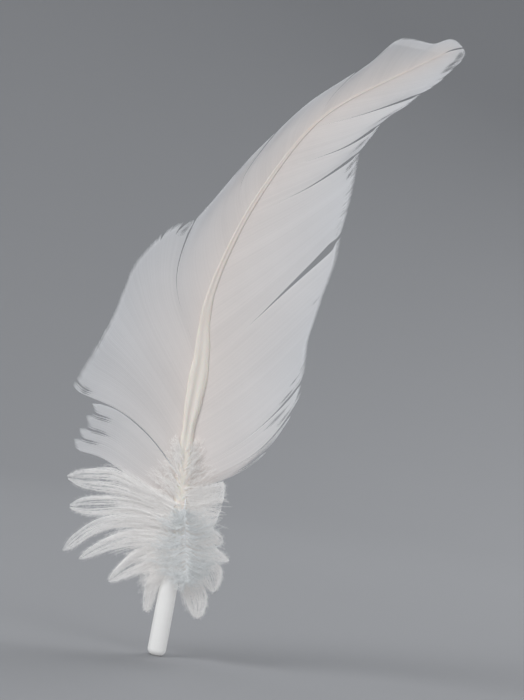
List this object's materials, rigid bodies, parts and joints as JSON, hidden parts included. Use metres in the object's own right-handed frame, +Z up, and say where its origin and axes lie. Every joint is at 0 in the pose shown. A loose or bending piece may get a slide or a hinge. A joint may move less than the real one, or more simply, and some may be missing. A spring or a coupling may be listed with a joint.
{
  "type": "quill pen",
  "caption": "Upright white feather quill with a hollow round-ended barrel, a grooved bending shaft, split vanes and downy base, its barb panels sprung along the shaft.",
  "frame": {"origin": "middle of the barrel's rounded lower end, on the barrel's axis", "axes": "+Z up the barrel towards the plume, +X towards the side to which the tip bends, -Y towards the hollow (grooved) face"},
  "size_m": [0.1083, 0.0251, 0.2193],
  "materials": {
    "quill_horn": "satin horn (keratin)",
    "pulp": "dry, matte",
    "pith": "foamy, matte",
    "vane": "soft barbs with a low sheen",
    "down": "fluffy, matte"
  },
  "bodies": {
    "shaft": {"calamus_barrel": "quill_horn", "lower_umbilicus_plug": "pulp", "pulp_caps": "pulp", "upper_umbilicus_cap": "pulp", "rachis_cortex": "quill_horn", "rachis_pith": "pith"},
    "right_vane_1": {"right_vane_1": "vane"},
    "right_vane_2": {"right_vane_2": "vane"},
    "right_vane_3": {"right_vane_3": "vane"},
    "right_vane_4": {"right_vane_4": "vane"},
    "right_vane_5": {"right_vane_5": "vane"},
    "right_vane_6": {"right_vane_6": "vane"},
    "right_vane_7": {"right_vane_7": "vane"},
    "left_vane_1": {"left_vane_1": "vane"},
    "left_vane_2": {"left_vane_2": "vane"},
    "left_vane_3": {"left_vane_3": "vane"},
    "left_vane_4": {"left_vane_4": "vane"},
    "left_vane_5": {"left_vane_5": "vane"},
    "left_down": {"left_down_1": "down", "left_down_2": "down", "left_down_3": "down", "left_down_4": "down", "left_down_5": "down", "left_down_6": "down"},
    "right_down": {"right_down_1": "down", "right_down_2": "down", "right_down_3": "down", "right_down_4": "down", "right_down_5": "down"},
    "afterfeather": {"afterfeather_shaft": "quill_horn", "afterfeather_down_left": "down", "afterfeather_down_right": "down"}
  },
  "joints": [
    {"name": "right_vane_1_flex", "type": "hinge", "parent": "shaft", "child": "right_vane_1", "pos_m": [0.00142, -0.00005, 0.05664], "axis": [-0.1435, -0.0179, 0.9895], "range_deg": [-25, 25], "stiffness_Nm_per_rad": 0.000136},
    {"name": "right_vane_2_flex", "type": "hinge", "parent": "shaft", "child": "right_vane_2", "pos_m": [0.00088, -0.00014, 0.06061], "axis": [-0.1301, -0.0238, 0.9912], "range_deg": [-25, 25], "stiffness_Nm_per_rad": 0.000427},
    {"name": "right_vane_3_flex", "type": "hinge", "parent": "shaft", "child": "right_vane_3", "pos_m": [0.0002, -0.0012, 0.08171], "axis": [-0.0159, -0.0542, 0.9984], "range_deg": [-25, 25], "stiffness_Nm_per_rad": 0.00262},
    {"name": "right_vane_4_flex", "type": "hinge", "parent": "shaft", "child": "right_vane_4", "pos_m": [0.00184, -0.00492, 0.12487], "axis": [0.0798, -0.1092, 0.9908], "range_deg": [-25, 25], "stiffness_Nm_per_rad": 0.00153},
    {"name": "right_vane_5_flex", "type": "hinge", "parent": "shaft", "child": "right_vane_5", "pos_m": [0.00731, -0.00898, 0.15807], "axis": [0.3719, -0.1437, 0.9171], "range_deg": [-25, 25], "stiffness_Nm_per_rad": 0.000132},
    {"name": "right_vane_6_flex", "type": "hinge", "parent": "shaft", "child": "right_vane_6", "pos_m": [0.01511, -0.01174, 0.17451], "axis": [0.4756, -0.155, 0.8659], "range_deg": [-25, 25], "stiffness_Nm_per_rad": 0.000111},
    {"name": "right_vane_7_flex", "type": "hinge", "parent": "shaft", "child": "right_vane_7", "pos_m": [0.03814, -0.01643, 0.19801], "axis": [0.7628, -0.1334, 0.6328], "range_deg": [-25, 25], "stiffness_Nm_per_rad": 0.0000154},
    {"name": "left_vane_1_flex", "type": "hinge", "parent": "shaft", "child": "left_vane_1", "pos_m": [-0.00443, -0.00006, 0.05646], "axis": [-0.0954, -0.0182, 0.9953], "range_deg": [-25, 25], "stiffness_Nm_per_rad": 0.00101},
    {"name": "left_vane_2_flex", "type": "hinge", "parent": "shaft", "child": "left_vane_2", "pos_m": [-0.00563, -0.00128, 0.08223], "axis": [-0.0342, -0.0545, 0.9979], "range_deg": [-25, 25], "stiffness_Nm_per_rad": 0.00259},
    {"name": "left_vane_3_flex", "type": "hinge", "parent": "shaft", "child": "left_vane_3", "pos_m": [-0.00245, -0.00508, 0.12658], "axis": [0.162, -0.1105, 0.9806], "range_deg": [-25, 25], "stiffness_Nm_per_rad": 0.000163},
    {"name": "left_vane_4_flex", "type": "hinge", "parent": "shaft", "child": "left_vane_4", "pos_m": [0.01089, -0.01086, 0.16848], "axis": [0.4565, -0.1498, 0.877], "range_deg": [-25, 25], "stiffness_Nm_per_rad": 0.0000262},
    {"name": "left_vane_5_flex", "type": "hinge", "parent": "shaft", "child": "left_vane_5", "pos_m": [0.03826, -0.01693, 0.2005], "axis": [0.7838, -0.1298, 0.6073], "range_deg": [-25, 25], "stiffness_Nm_per_rad": 0.0000316},
    {"name": "left_down_flex", "type": "hinge", "parent": "shaft", "child": "left_down", "pos_m": [-0.00371, 0.00004, 0.03941], "axis": [-0.018, -0.0013, 0.9998], "range_deg": [-25, 25], "stiffness_Nm_per_rad": 0.00319},
    {"name": "right_down_flex", "type": "hinge", "parent": "shaft", "child": "right_down", "pos_m": [0.00258, 0.00002, 0.04128], "axis": [-0.0669, -0.003, 0.9978], "range_deg": [-8, 25], "stiffness_Nm_per_rad": 0.000269},
    {"name": "afterfeather_flex", "type": "hinge", "parent": "shaft", "child": "afterfeather", "pos_m": [0.0006, -0.0054, 0.051], "axis": [1, 0, 0], "range_deg": [-35, 2], "stiffness_Nm_per_rad": 0.000406}
  ]
}
